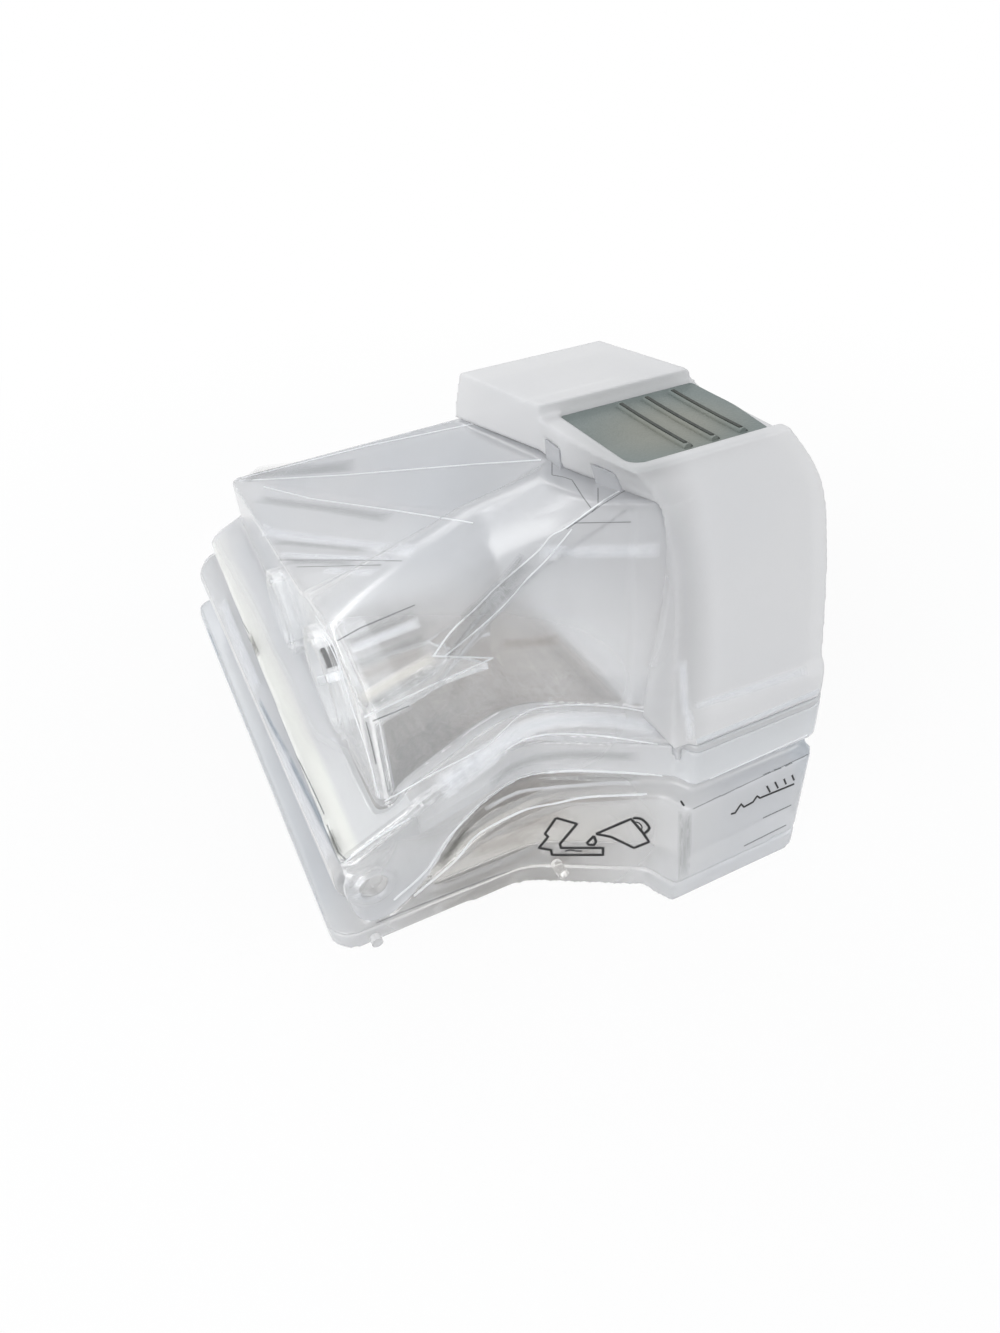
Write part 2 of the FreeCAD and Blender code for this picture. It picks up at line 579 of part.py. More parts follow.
def make_grip_pad():
    """Soft pad with a shallow hollow along the cover's width and three raised ridges."""
    pad = prism(PAD, PAD_LOW, PAD_Z)
    middle = sum(RIDGE_Y) / 2
    half = PAD[-1][1] - middle
    radius = (half ** 2 + PAD_SAG ** 2) / (2 * PAD_SAG)
    dish = rod_x(middle, PAD_Z + radius - PAD_SAG, radius, (LOW, TALL))
    ridges = []
    ring = Part.makeTorus(radius, RIDGE_R, V(0, middle, PAD_Z + radius - PAD_SAG), V(1, 0, 0))
    for x in RIDGES_X:
        ridge = ring.copy()
        ridge.translate(V(x, 0, 0))
        ridges.append(ridge.common(span((LOW, TALL), RIDGE_Y, (PAD_LOW, PAD_Z + 1))))
    return joined([pad.cut(dish)] + ridges)


def clip_blocks(play):
    """The clips, flush with the cover's left wall, grown by the given play."""
    wall = front_box(0, COVER_BACK_Y).cut(front_box(COVER_WALL, COVER_BACK_Y))
    zones = [span((LOW, FRONT_JOIN_X), (y - play, y + CLIP_WIDTH + play), (ROOF_Z, CLIP_TOP + play))
             for y in CLIPS_Y]
    return [wall.common(zone).Solids[0] for zone in zones]


def make_cover_clips():
    return Part.makeCompound(clip_blocks(0))


# ------------------------------------------------------------------ lid: air path
def port_ring(name):
    y, z, bore, end = PORTS[name]
    reach = (PORT_FACE_X, PORT_FACE_X + PORT_LENGTH)
    return rod_x(y, z, bore + PORT_RING, reach).cut(rod_x(y, z, bore, (0, TALL)))


def air_tube(name):
    """Duct that leads the air from a port ring into the lid, cut off at a slant."""
    y, z, bore, end = PORTS[name]
    reach = (PORT_FACE_X + PORT_LENGTH, end)
    tube = rod_x(y, z, bore + PORT_RING, reach).cut(rod_x(y, z, bore + DUCT_STEP, (0, TALL)))
    toe = V(end, y, z - bore - DUCT_LIP)
    return tube.common(under_plane(toe, V(end - bore / 2, y, z + bore), toe + V(0, 1, 0), 0))


def inlet_tube():
    """The inlet's duct, with a flat vane that spreads the incoming air over the water."""
    corners = [V(x, y, VANE_Z[0]) for x, y in VANE + VANE[:1]]
    vane = Part.Face(Part.makePolygon(corners)).extrude(V(0, 0, VANE_Z[1] - VANE_Z[0]))
    return joined([air_tube("inlet"), vane])


def make_port_seals():
    """Soft rings round both ports, on the outside of the left wall."""
    wall = prism(UPPER, UNDER, TALL)
    rings = []
    for y, z, bore, end in PORTS.values():
        inner = bore + PORT_RING
        reach = (PORT_FACE_X + DUCT_LIP / 2, PORT_FACE_X + 3 * DUCT_LIP)
        ring = rod_x(y, z, inner + PORT_SEAL, reach).cut(rod_x(y, z, inner, (0, TALL)))
        rings.append(ring.cut(wall).cut(ledge_slab(FLANGE)).Solids[0])
    return Part.makeCompound(rings)


def make_air_baffle():
    """Upright wall between the incoming and the outgoing air."""
    plate = span(BAFFLE_X, BAFFLE_Y, (BAFFLE_LOW, TALL))
    return plate.common(lid_form(WALL, UNDER)).Solids[0]


# ------------------------------------------------------------------ all pieces
def make_pieces():
    return {
        "base_tub": make_base_tub(),
        "bottom_frame": make_bottom_frame(),
        "heater_plate": make_heater_plate(),
        "plate_gasket": make_plate_gasket(),
        "hinge_pins": Part.makeCompound(pin_rods()),
        "locating_pips": make_locating_pips(),
        "lid_shell": make_lid_shell(),
        "lid_skirt": make_lid_skirt(),
        "lid_seal": make_lid_seal(),
        "hinge_seal_strip": make_hinge_seal_strip(),
        "lid_cover": make_lid_cover(),
        "grip_pad": make_grip_pad(),
        "cover_clips": make_cover_clips(),
        "inlet_port_ring": port_ring("inlet"),
        "outlet_port_ring": port_ring("outlet"),
        "inlet_tube": inlet_tube(),
        "outlet_tube": air_tube("outlet"),
        "port_seals": make_port_seals(),
        "air_baffle": make_air_baffle(),
        "latch_tab": make_latch_tab(),
    }


def main():
    os.makedirs("parts", exist_ok=True)
    low = V(TALL, TALL, TALL)
    high = V(-TALL, -TALL, -TALL)
    for name, shape in make_pieces().items():
        shape.translate(-CENTRE)
        shape.exportStep("parts/" + name + ".step")
        box = shape.optimalBoundingBox()
        low = V(min(low.x, box.XMin), min(low.y, box.YMin), min(low.z, box.ZMin))
        high = V(max(high.x, box.XMax), max(high.y, box.YMax), max(high.z, box.ZMax))
        print(name, "solids", len(shape.Solids), "valid", shape.isValid(), "cm3", round(shape.Volume / 1000, 2))
    print("overall box", low, high)


main()
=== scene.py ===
import bpy
from mathutils import Matrix, Vector
from mathutils.bvhtree import BVHTree


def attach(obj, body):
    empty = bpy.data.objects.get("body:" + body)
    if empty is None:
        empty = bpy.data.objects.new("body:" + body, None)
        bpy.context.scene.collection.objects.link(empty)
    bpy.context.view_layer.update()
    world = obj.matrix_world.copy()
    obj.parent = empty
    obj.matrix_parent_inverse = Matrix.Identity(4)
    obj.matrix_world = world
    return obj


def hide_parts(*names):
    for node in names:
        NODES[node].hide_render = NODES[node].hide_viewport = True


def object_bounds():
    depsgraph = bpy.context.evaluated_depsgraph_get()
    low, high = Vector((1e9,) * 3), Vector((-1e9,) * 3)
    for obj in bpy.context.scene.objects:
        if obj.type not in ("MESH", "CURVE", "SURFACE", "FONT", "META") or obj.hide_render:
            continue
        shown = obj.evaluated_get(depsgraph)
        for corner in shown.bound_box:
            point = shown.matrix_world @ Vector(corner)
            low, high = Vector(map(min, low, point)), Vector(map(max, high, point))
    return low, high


# A clear water tub with a milky lid, a frosted front cover and a soft thumb grip.
# Everything is in metres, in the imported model's frame: +X towards the grip end, +Z up.
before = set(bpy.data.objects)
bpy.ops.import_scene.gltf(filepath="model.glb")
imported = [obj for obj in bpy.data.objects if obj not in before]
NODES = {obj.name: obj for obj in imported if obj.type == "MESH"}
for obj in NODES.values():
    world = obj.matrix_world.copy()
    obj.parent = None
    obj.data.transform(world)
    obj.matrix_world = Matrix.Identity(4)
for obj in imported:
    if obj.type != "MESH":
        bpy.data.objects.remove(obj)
cad_low, cad_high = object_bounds()
MM = 0.001

# The camera: seen from the near left, 37.5 degrees down, rolled a little.
CAMERA_SPOT = Vector((-0.05762, -0.16439, 0.1433))
CAMERA_FORWARD = Vector((0.3100, 0.7307, -0.6083))
CAMERA_ROLL = (0.9967, -0.0812)     # cosine and sine
FOCAL_PX = 927.2                    # in a picture of 1000 x 1333 pixels
MIDDLE_PX = (500.0, 666.5)
SENSOR_MM = 36.0                    # along the picture's longer side
LENS_MM = 25.04                     # FOCAL_PX on that sensor


# ------------------------------------------------------------------ node helpers
def new_material(name):
    mat = bpy.data.materials.new(name)
    mat.use_nodes = True
    nt = mat.node_tree
    nt.nodes.clear()
    out = nt.nodes.new("ShaderNodeOutputMaterial")
    return mat, nt, out


def feed(nt, value, socket):
    """Gives a socket a number, a colour or another node's output."""
    if isinstance(value, float):
        socket.default_value = value
    elif isinstance(value, tuple):
        socket.default_value = (*value, 1.0)
    else:
        nt.links.new(value, socket)


def grey(v):
    return (v, v, v)


def principled(nt, **values):
    node = nt.nodes.new("ShaderNodeBsdfPrincipled")
    for key, value in values.items():
        node.inputs[key.replace("_", " ")].default_value = value
    return node


def object_place(nt, location=(0, 0, 0), scale=(1, 1, 1)):
    """The point being shaded, in the object's own frame, scaled and moved."""
    place = nt.nodes.new("ShaderNodeTexCoord")
    mapping = nt.nodes.new("ShaderNodeMapping")
    mapping.inputs["Location"].default_value = location
    mapping.inputs["Scale"].default_value = scale
    feed(nt, place.outputs["Object"], mapping.inputs["Vector"])
    return mapping.outputs["Vector"]


def noise(nt, scale, detail=3.0, rough=0.5, stretch=(1, 1, 1)):
    tex = nt.nodes.new("ShaderNodeTexNoise")
    tex.inputs["Scale"].default_value = scale
    tex.inputs["Detail"].default_value = detail
    tex.inputs["Roughness"].default_value = rough
    feed(nt, object_place(nt, scale=stretch), tex.inputs["Vector"])
    return tex.outputs["Fac"]


def patch(nt, centre, reach):
    """1 at a place given in mm, fading to 0 at the given reach along each axis."""
    scale = [1 / (r * MM) for r in reach]
    location = [-c * MM * s for c, s in zip(centre, scale)]
    tex = nt.nodes.new("ShaderNodeTexGradient")
    tex.gradient_type = "SPHERICAL"
    feed(nt, object_place(nt, location, scale), tex.inputs["Vector"])
    return tex.outputs["Fac"]


def across(nt, direction, start, end):
    """0 to 1 between two distances, in mm, along a direction in the object's own frame."""
    dot = nt.nodes.new("ShaderNodeVectorMath")
    dot.operation = "DOT_PRODUCT"
    dot.inputs[1].default_value = direction
    feed(nt, object_place(nt), dot.inputs[0])
    return spread(nt, dot.outputs["Value"], 0.0, 1.0, start * MM, end * MM)


def maths(nt, operation, *values):
    node = nt.nodes.new("ShaderNodeMath")
    node.operation = operation
    node.use_clamp = True
    for socket, value in zip(node.inputs, values):
        feed(nt, value, socket)
    return node.outputs[0]


def ramp(nt, fac, stops):
    node = nt.nodes.new("ShaderNodeValToRGB")
    elements = node.color_ramp.elements
    while len(elements) < len(stops):
        elements.new(0.5)
    for element, (position, colour) in zip(elements, stops):
        element.position = position
        element.color = (*colour, 1.0)
    feed(nt, fac, node.inputs["Fac"])
    return node.outputs["Color"]


def spread(nt, fac, low, high, start=0.0, end=1.0):
    """Low to high, smoothly, while the factor goes from start to end."""
    node = nt.nodes.new("ShaderNodeMapRange")
    node.interpolation_type = "SMOOTHSTEP"
    node.inputs["From Min"].default_value = start
    node.inputs["From Max"].default_value = end
    node.inputs["To Min"].default_value = low
    node.inputs["To Max"].default_value = high
    feed(nt, fac, node.inputs["Value"])
    return node.outputs["Result"]


def bump(nt, height, strength, distance):
    node = nt.nodes.new("ShaderNodeBump")
    node.inputs["Strength"].default_value = strength
    node.inputs["Distance"].default_value = distance
    feed(nt, height, node.inputs["Height"])
    return node.outputs["Normal"]


def mix(nt, kind, fac, a, b):
    """A mix of two numbers (FLOAT) or of two colours (RGBA)."""
    node = nt.nodes.new("ShaderNodeMix")
    node.data_type = kind
    for name, value in (("Factor", fac), ("A", a), ("B", b)):
        feed(nt, value, node.inputs[name])
    return node.outputs["Result"]


def mix_shader(nt, fac, a, b):
    node = nt.nodes.new("ShaderNodeMixShader")
    for socket, value in zip(node.inputs, (fac, a, b)):
        feed(nt, value, socket)
    return node.outputs["Shader"]


# ------------------------------------------------------------------ materials
# Pairs of shades that a surface drifts between.
MILK = ((0.60, 0.615, 0.64), (0.665, 0.665, 0.675))
MILK_BASE = ((0.60, 0.615, 0.64), (0.67, 0.675, 0.685))
WATER_CLEAR = ((0.93, 0.935, 0.94), (0.955, 0.96, 0.965))
WATER_GREY = ((0.80, 0.79, 0.77), (0.85, 0.84, 0.825))
# Colours at single places: a bluer near corner, painted light on pale patches and painted shade on
# the vault's crown.
BLUE_EDGE = (0.36, 0.46, 0.56)
# Painted light: a pale colour that lightens patches of the milky plastic.
PAINTED_LIGHT_PATCH = (0.76, 0.78, 0.80)
# Painted shade: a grey that darkens the vault's crown, which the lamps light from above.
CROWN_PAINTED_SHADE = (0.47, 0.48, 0.49)

PLASTIC_IOR = 1.49
WINDOW_WAVER = 0.12        # how far a slow noise alone opens the milky plastic
WINDOW_OPEN = 0.85         # summed patches at which it is as clear as it gets
SHADOW_THROUGH = 0.95      # share of the lamps' light that passes the plastic
COVER_SOLID = (0.80, 0.30)     # the frosted cover's alpha, in general and where it is thin
COVER_THIN = ((14.0, -54.0, 56.0), (12.0, 30.0, 36.0))
PAD_MIDDLE = ((26.0, -45.0, 80.5), (17.0, 15.0, 9.0))
SEAL_TURN = ((1.0, -0.035, 0.0), -38.6, -37.0)     # cream before it, grey after it
METAL_TURN = ((1.0, 0.0, 0.0), -20.0, 18.0)        # dark before it, pale after it


def tinted(nt, low, high):
    """A colour that drifts slowly between two shades."""
    return ramp(nt, noise(nt, 22.0, 2.0), [(0.3, low), (0.7, high)])


def shadow_side(nt, shader):
    """Lets the lamps' light through the plastic to what is inside it."""
    through = nt.nodes.new("ShaderNodeBsdfTransparent")
    feed(nt, grey(SHADOW_THROUGH), through.inputs["Color"])
    path = nt.nodes.new("ShaderNodeLightPath")
    return mix_shader(nt, path.outputs["Is Shadow Ray"], shader, through.outputs["BSDF"])


def milky_plastic(name, milk, water, clear, rough, windows=(), colour_patches=(), ior=PLASTIC_IOR):
    """Moulded plastic that is clear in a few windows, milky elsewhere, and with colour at a few
    places: painted light, painted shade and a bluer corner.

    clear and rough give the transmission and the roughness as (elsewhere, in a window). A window
    is a patch and its share, and a colour patch is a patch, its share and its colour.
    """
    mat, nt, out = new_material(name)
    body = principled(nt, IOR=ior, Coat_Weight=0.6, Coat_Roughness=0.15, Coat_IOR=1.45)
    view = maths(nt, "MULTIPLY", noise(nt, 40.0, 2.0), WINDOW_WAVER)
    for centre, reach, share in windows:
        view = maths(nt, "ADD", view, maths(nt, "MULTIPLY", patch(nt, centre, reach), share))
    window = spread(nt, view, 0.0, 1.0, 0.0, WINDOW_OPEN)
    colour = mix(nt, "RGBA", window, tinted(nt, *milk), tinted(nt, *water))
    for centre, reach, share, patch_colour in colour_patches:
        there = maths(nt, "MULTIPLY", patch(nt, centre, reach), share)
        colour = mix(nt, "RGBA", there, colour, patch_colour)
    feed(nt, colour, body.inputs["Base Color"])
    feed(nt, spread(nt, window, *clear), body.inputs["Transmission Weight"])
    feed(nt, spread(nt, window, *rough), body.inputs["Roughness"])
    waves = noise(nt, 28.0, 1.5, 0.4)
    feed(nt, bump(nt, waves, strength=0.10, distance=0.0015), body.inputs["Normal"])
    feed(nt, shadow_side(nt, body.outputs["BSDF"]), out.inputs["Surface"])
    return mat


def frosted_plastic(name):
    """Pale frosted plastic with a fine grain, a little see-through, more so where it is thin."""
    mat, nt, out = new_material(name)
    body = principled(nt, IOR=PLASTIC_IOR)
    feed(nt, spread(nt, patch(nt, *COVER_THIN), *COVER_SOLID, 0.0, 0.7), body.inputs["Alpha"])
    tones = [(0.25, (0.67, 0.675, 0.69)), (0.75, (0.71, 0.71, 0.715))]
    feed(nt, ramp(nt, noise(nt, 30.0), tones), body.inputs["Base Color"])
    feed(nt, spread(nt, noise(nt, 900.0, 2.0), 0.34, 0.48), body.inputs["Roughness"])
    frost = noise(nt, 1500.0, 2.0)
    feed(nt, bump(nt, frost, strength=0.2, distance=0.0001), body.inputs["Normal"])
    feed(nt, body.outputs["BSDF"], out.inputs["Surface"])
    return mat


def thin_line(name, low, high, solid, rough):
    """Print, seams, moulded marks, painted highlights and painted shade as thin trim on the
    surface, between two shades, with its alpha and roughness.
    """
    mat, nt, out = new_material(name)
    body = principled(nt, Alpha=solid, IOR=1.45)
    tone = ramp(nt, noise(nt, 400.0), [(0.3, low), (0.7, high)])
    feed(nt, tone, body.inputs["Base Color"])
    wear = spread(nt, noise(nt, 900.0, 2.0), rough - 0.08, rough + 0.08)
    feed(nt, wear, body.inputs["Roughness"])
    feed(nt, body.outputs["BSDF"], out.inputs["Surface"])
    return mat


def grip_rubber(name):
    """Grey-green rubber, bluer at its sides and browner in its middle."""
    mat, nt, out = new_material(name)
    body = principled(nt)
    tone = noise(nt, 60.0, 5.0, 0.6)
    cool = ramp(nt, tone, [(0.3, (0.138, 0.168, 0.164)), (0.7, (0.165, 0.194, 0.188))])
    warm = ramp(nt, tone, [(0.3, (0.185, 0.196, 0.172)), (0.7, (0.218, 0.225, 0.198))])
    middle = spread(nt, patch(nt, *PAD_MIDDLE), 0.0, 1.0, 0.0, 0.8)
    feed(nt, mix(nt, "RGBA", middle, cool, warm), body.inputs["Base Color"])
    feed(nt, spread(nt, noise(nt, 1100.0), 0.5, 0.62), body.inputs["Roughness"])
    grain = noise(nt, 2200.0, 2.0)
    feed(nt, bump(nt, grain, strength=0.5, distance=0.0002), body.inputs["Normal"])
    feed(nt, body.outputs["BSDF"], out.inputs["Surface"])
    return mat


def seal_rubber(name):
    """Soft rubber, cream along the hinge and greyer beside the lid's wall."""
    mat, nt, out = new_material(name)
    body = principled(nt)
    tone = noise(nt, 60.0, 5.0, 0.6)
    cream = ramp(nt, tone, [(0.3, (0.52, 0.52, 0.475)), (0.7, (0.57, 0.57, 0.525))])
    cool = ramp(nt, tone, [(0.3, (0.34, 0.35, 0.36)), (0.7, (0.39, 0.40, 0.41))])
    colour = mix(nt, "RGBA", across(nt, *SEAL_TURN), cream, cool)
    feed(nt, colour, body.inputs["Base Color"])
    feed(nt, spread(nt, noise(nt, 700.0), 0.44, 0.56), body.inputs["Roughness"])
    grain = noise(nt, 1400.0, 2.0)
    feed(nt, bump(nt, grain, strength=0.25, distance=0.0002), body.inputs["Normal"])
    feed(nt, body.outputs["BSDF"], out.inputs["Surface"])
    return mat


def brushed_metal(name):
    """Rolled metal sheet with fine scratches along Y and a speckled grain."""
    mat, nt, out = new_material(name)
    body = principled(nt, Metallic=1.0)
    scratch = noise(nt, 60.0, 6.0, 0.65, stretch=(14, 1, 1))
    speck = noise(nt, 1500.0, 3.0, 0.7)
    grain = mix(nt, "FLOAT", 0.62, scratch, speck)
    dark = ramp(nt, grain, [(0.38, (0.050, 0.044, 0.038)), (0.5, (0.12, 0.106, 0.093)),
                            (0.62, (0.25, 0.227, 0.206))])
    pale = ramp(nt, grain, [(0.36, (0.28, 0.245, 0.216)), (0.5, (0.42, 0.372, 0.333)),
                            (0.64, (0.58, 0.525, 0.480))])
    colour = mix(nt, "RGBA", across(nt, *METAL_TURN), dark, pale)
    feed(nt, colour, body.inputs["Base Color"])
    feed(nt, spread(nt, speck, 0.26, 0.42), body.inputs["Roughness"])
    feed(nt, bump(nt, grain, strength=0.22, distance=0.0002), body.inputs["Normal"])
    feed(nt, body.outputs["BSDF"], out.inputs["Surface"])
    return mat


# Centre, reach and share of each clear window, in mm. Colour patches have their colour after these:
# the pale ones are painted light, the grey on the vault's crown is painted shade.
LID_WINDOWS = [((-16.0, -50.0, 38.0), (52.0, 30.0, 30.0), 1.0),
               ((-27.0, -28.0, 50.0), (30.0, 30.0, 18.0), 0.55),
               ((-45.0, 4.0, 26.0), (12.0, 190.0, 16.0), 1.0)]
BASE_WINDOWS = [((-14.0, -58.0, 11.0), (46.0, 30.0, 26.0), 1.0)]
LID_COLOUR_PATCHES = [((47.0, -69.0, 28.0), (6.0, 9.0, 6.0), 0.5, BLUE_EDGE),
             ((-46.0, 0.0, 20.0), (6.0, 120.0, 14.0), 0.8, PAINTED_LIGHT_PATCH),
             ((32.0, -74.0, 24.0), (44.0, 16.0, 18.0), 1.0, PAINTED_LIGHT_PATCH),
             ((8.0, -26.0, 64.0), (24.0, 18.0, 12.0), 0.4, CROWN_PAINTED_SHADE)]
BASE_COLOUR_PATCHES = [((46.5, -68.0, 17.0), (7.0, 12.0, 9.0), 0.45, BLUE_EDGE),
              ((-47.0, 20.0, 10.0), (9.0, 90.0, 16.0), 0.7, PAINTED_LIGHT_PATCH)]

CLEAR_LID = milky_plastic("clear_lid", MILK, WATER_CLEAR, clear=(0.5, 0.84), rough=(0.26, 0.04),
                          windows=LID_WINDOWS, colour_patches=LID_COLOUR_PATCHES)
CLEAR_BASE = milky_plastic("clear_base", MILK_BASE, WATER_GREY, clear=(0.5, 0.88),
                           rough=(0.26, 0.04), windows=BASE_WINDOWS, colour_patches=BASE_COLOUR_PATCHES)
CLEAR_INNER = milky_plastic("clear_inner", WATER_CLEAR, WATER_CLEAR, clear=(0.9, 0.95),
                            rough=(0.1, 0.05))
FAINT_INNER = milky_plastic("faint_inner", WATER_CLEAR, WATER_CLEAR, clear=(0.93, 0.95),
                            rough=(0.1, 0.05), ior=1.12)
SOFT_CLEAR = milky_plastic("soft_clear_rubber", MILK, WATER_CLEAR, clear=(0.6, 0.9),
                           rough=(0.26, 0.2))
SOFT_FAINT = milky_plastic("soft_faint_rubber", WATER_CLEAR, WATER_CLEAR, clear=(0.85, 0.9),
                           rough=(0.2, 0.15), ior=1.15)
FROSTED = frosted_plastic("frosted_cover")
SEAL = seal_rubber("cream_seal")
GRIP = grip_rubber("grip_rubber")
METAL = brushed_metal("heater_metal")
# Painted highlights: white lines where light catches the edges and creases of the clear plastic.
GLINT = thin_line("painted_highlight_line", (0.84, 0.86, 0.89), (0.90, 0.91, 0.93), solid=0.75, rough=0.2)
# Painted light: a bluish band along the cover's lower lip.
BLUISH = thin_line("painted_bluish_light", (0.74, 0.77, 0.81), (0.82, 0.84, 0.87), solid=0.45, rough=0.25)
# Dark lines: real seams and level marks, and painted shade lines beside the painted highlights.
SHADE = thin_line("seams_marks_and_painted_shade", (0.13, 0.14, 0.15), (0.22, 0.23, 0.24), solid=0.5, rough=0.4)
SOFT_WHITE = thin_line("soft_light", (0.88, 0.90, 0.93), (0.92, 0.93, 0.95), solid=0.14, rough=0.3)
# Painted cream light, refracted through the vault.
SOFT_CREAM = thin_line("soft_cream_light", (0.86, 0.84, 0.79), (0.90, 0.88, 0.83), solid=0.13, rough=0.3)
SOFT_GREY = thin_line("soft_shade", (0.26, 0.27, 0.27), (0.32, 0.33, 0.33), solid=0.045, rough=0.3)
# Painted bluish shade on the hinge strip and the barrel.
SOFT_BLUE = thin_line("soft_blue_shade", (0.34, 0.41, 0.48), (0.42, 0.48, 0.54), solid=0.13, rough=0.3)
# Painted brownish shade on the tub and painted brownish refraction in the vault.
SOFT_BROWN = thin_line("soft_brown_shade_and_refraction", (0.34, 0.29, 0.25), (0.40, 0.35, 0.31), solid=0.035, rough=0.3)
# Painted dark shade at the hinge strip's slot and on the tub's wall.
SOFT_DARK = thin_line("soft_dark_shade", (0.06, 0.06, 0.045), (0.09, 0.09, 0.07), solid=0.10, rough=0.3)
# Painted shadow: near-black strips along the pad's ridges.
RIDGE_SHADOW = thin_line("painted_ridge_shadow", (0.014, 0.019, 0.015), (0.030, 0.038, 0.030), solid=1.0, rough=0.5)
# Black print, also used for the painted shadow inside the inlet port's hole.
INK_AND_PORT_SHADOW = thin_line("black_print_and_port_shadow", (0.010, 0.010, 0.011), (0.022, 0.022, 0.024), solid=1.0, rough=0.45)

LOOKS = {
    "hinge_pins": CLEAR_BASE, "locating_pips": CLEAR_BASE, "heater_plate": METAL,
    "plate_gasket": SOFT_CLEAR, "lid_seal": SOFT_CLEAR, "hinge_seal_strip": SEAL,
    "grip_pad": GRIP, "cover_clips": CLEAR_LID, "inlet_port_ring": CLEAR_INNER,
    "outlet_port_ring": FAINT_INNER, "inlet_tube": CLEAR_INNER, "outlet_tube": FAINT_INNER,
    "port_seals": SOFT_FAINT, "air_baffle": FAINT_INNER, "latch_tab": CLEAR_LID,
}
for name, material in LOOKS.items():
    mesh = NODES[name].data
    mesh.materials.clear()
    mesh.materials.append(material)


# ------------------------------------------------------------------ moulded pieces, round edges
def rounded_piece(node, body, material, voxel, passes, keep):
    """A copy of a CAD piece with the soft edges that a mould leaves. It replaces that piece.

    voxel is the copy's grid in mm, passes how often it is smoothed, keep the share of faces kept.
    """
    mesh = NODES[node].data.copy()
    piece = bpy.data.objects.new(node + "_moulded", mesh)
    bpy.context.scene.collection.objects.link(piece)
    remesh = piece.modifiers.new("remesh", "REMESH")
    remesh.mode = "VOXEL"
    remesh.voxel_size = voxel * MM
    soften = piece.modifiers.new("soften", "SMOOTH")
    soften.factor = 0.5
    soften.iterations = passes
    fewer = piece.modifiers.new("fewer", "DECIMATE")
    fewer.ratio = keep
    bpy.context.view_layer.update()
    graph = bpy.context.evaluated_depsgraph_get()
    shaped = bpy.data.meshes.new_from_object(piece.evaluated_get(graph))
    piece.modifiers.clear()
    piece.data = shaped
    shaped.materials.clear()
    shaped.materials.append(material)
    for face in shaped.polygons:
        face.use_smooth = True
    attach(piece, body)
    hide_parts(node)
    return piece


SHELL = rounded_piece("lid_shell", "lid", CLEAR_LID, voxel=0.5, passes=6, keep=0.25)
SKIRT = rounded_piece("lid_skirt", "lid", CLEAR_LID, voxel=0.4, passes=6, keep=0.35)
COVER = rounded_piece("lid_cover", "lid", FROSTED, voxel=0.4, passes=9, keep=0.35)
TUB = rounded_piece("base_tub", "base", CLEAR_BASE, voxel=0.5, passes=6, keep=0.25)
FOOT = rounded_piece("bottom_frame", "base", CLEAR_BASE, voxel=0.5, passes=6, keep=0.25)

# ------------------------------------------------------------------ fine lines on the surfaces: print, seams, painted highlights and painted shade
JUMP = 0.006            # a clinging line that would step further than this stays on the edge
LONGEST_STEP = 0.003    # any line is cut where its points are further apart than this
LINE_PACE_PX = 1.5      # pixels between the points of a line
BAND_PACE_PX = 3.0      # and between those of a soft band
CREST_PACE_MM = 0.5     # mm between the points of a line drawn from above
CURVE_STEPS = 6         # pieces of a curve between two of its corners
OVERHEAD = 0.2          # height from which such a line is dropped, well above the object
STRIP_ROOT = 0.08       # how deep a strip sits in the skin, in mm
STRIP_TOP = 0.6         # its width at the top, against its foot
BAND_LAYERS = 5
BAND_RAISED = (0.05, 0.015)     # height of its lowest layer and of each step above it, in mm


def camera_axes():
    """The camera's right, up and backward directions."""
    forward = CAMERA_FORWARD.normalized()
    level = forward.cross(Vector((0, 0, 1))).normalized()
    down = forward.cross(level).normalized()
    roll_cos, roll_sin = CAMERA_ROLL
    right = (level * roll_cos - down * roll_sin).normalized()
    up = -(level * roll_sin + down * roll_cos).normalized()
    return right, up, -forward


def skin_of(*pieces):
    """The surfaces of some pieces, for looking up points on them."""
    points, faces = [], []
    for piece in pieces:
        first = len(points)
        points += [v.co for v in piece.data.vertices]
        faces += [tuple(first + i for i in face.vertices) for face in piece.data.polygons]
    return BVHTree.FromPolygons(points, faces)


def seen_at(skin, spot, last=None):
    """The point and outward direction of a skin at a pixel, or beside a last point if given."""
    right, up, back = camera_axes()
    aside, below = ((s - m) / FOCAL_PX for s, m in zip(spot, MIDDLE_PX))
    ray = (right * aside - up * below - back).normalized()
    place, normal, _, _ = skin.ray_cast(CAMERA_SPOT, ray)
    if last is None or (place is not None and (place - last).length < JUMP):
        return place, normal
    return skin.find_nearest(CAMERA_SPOT + ray * (last - CAMERA_SPOT).length)[:2]


def traced(skin, corners, pace, cling=False):
    """Points of the skin along a line of pixels. A clinging line follows the skin's edge."""
    run = []
    for start, end in zip(corners, corners[1:]):
        a, b = Vector(start), Vector(end)
        steps = max(1, int((b - a).length / pace))
        for i in range(steps):
            run.append(seen_at(skin, a.lerp(b, i / steps), run[-1][0] if cling and run else None))
    run.append(seen_at(skin, corners[-1], run[-1][0] if cling else None))
    return [point for point in run if point[0] is not None]


def under(skin, corners):
    """Points of the skin beneath a line given as (x, y) in mm, with the upward direction."""
    run = []
    for start, end in zip(corners, corners[1:]):
        a, b = Vector(start), Vector(end)
        steps = max(1, int((b - a).length / CREST_PACE_MM))
        for i in range(steps + 1):
            spot = a.lerp(b, i / steps) * MM
            place = skin.ray_cast(Vector((spot.x, spot.y, OVERHEAD)), Vector((0, 0, -1)))[0]
            run.append((place, Vector((0, 0, 1))))
    return [point for point in run if point[0] is not None]


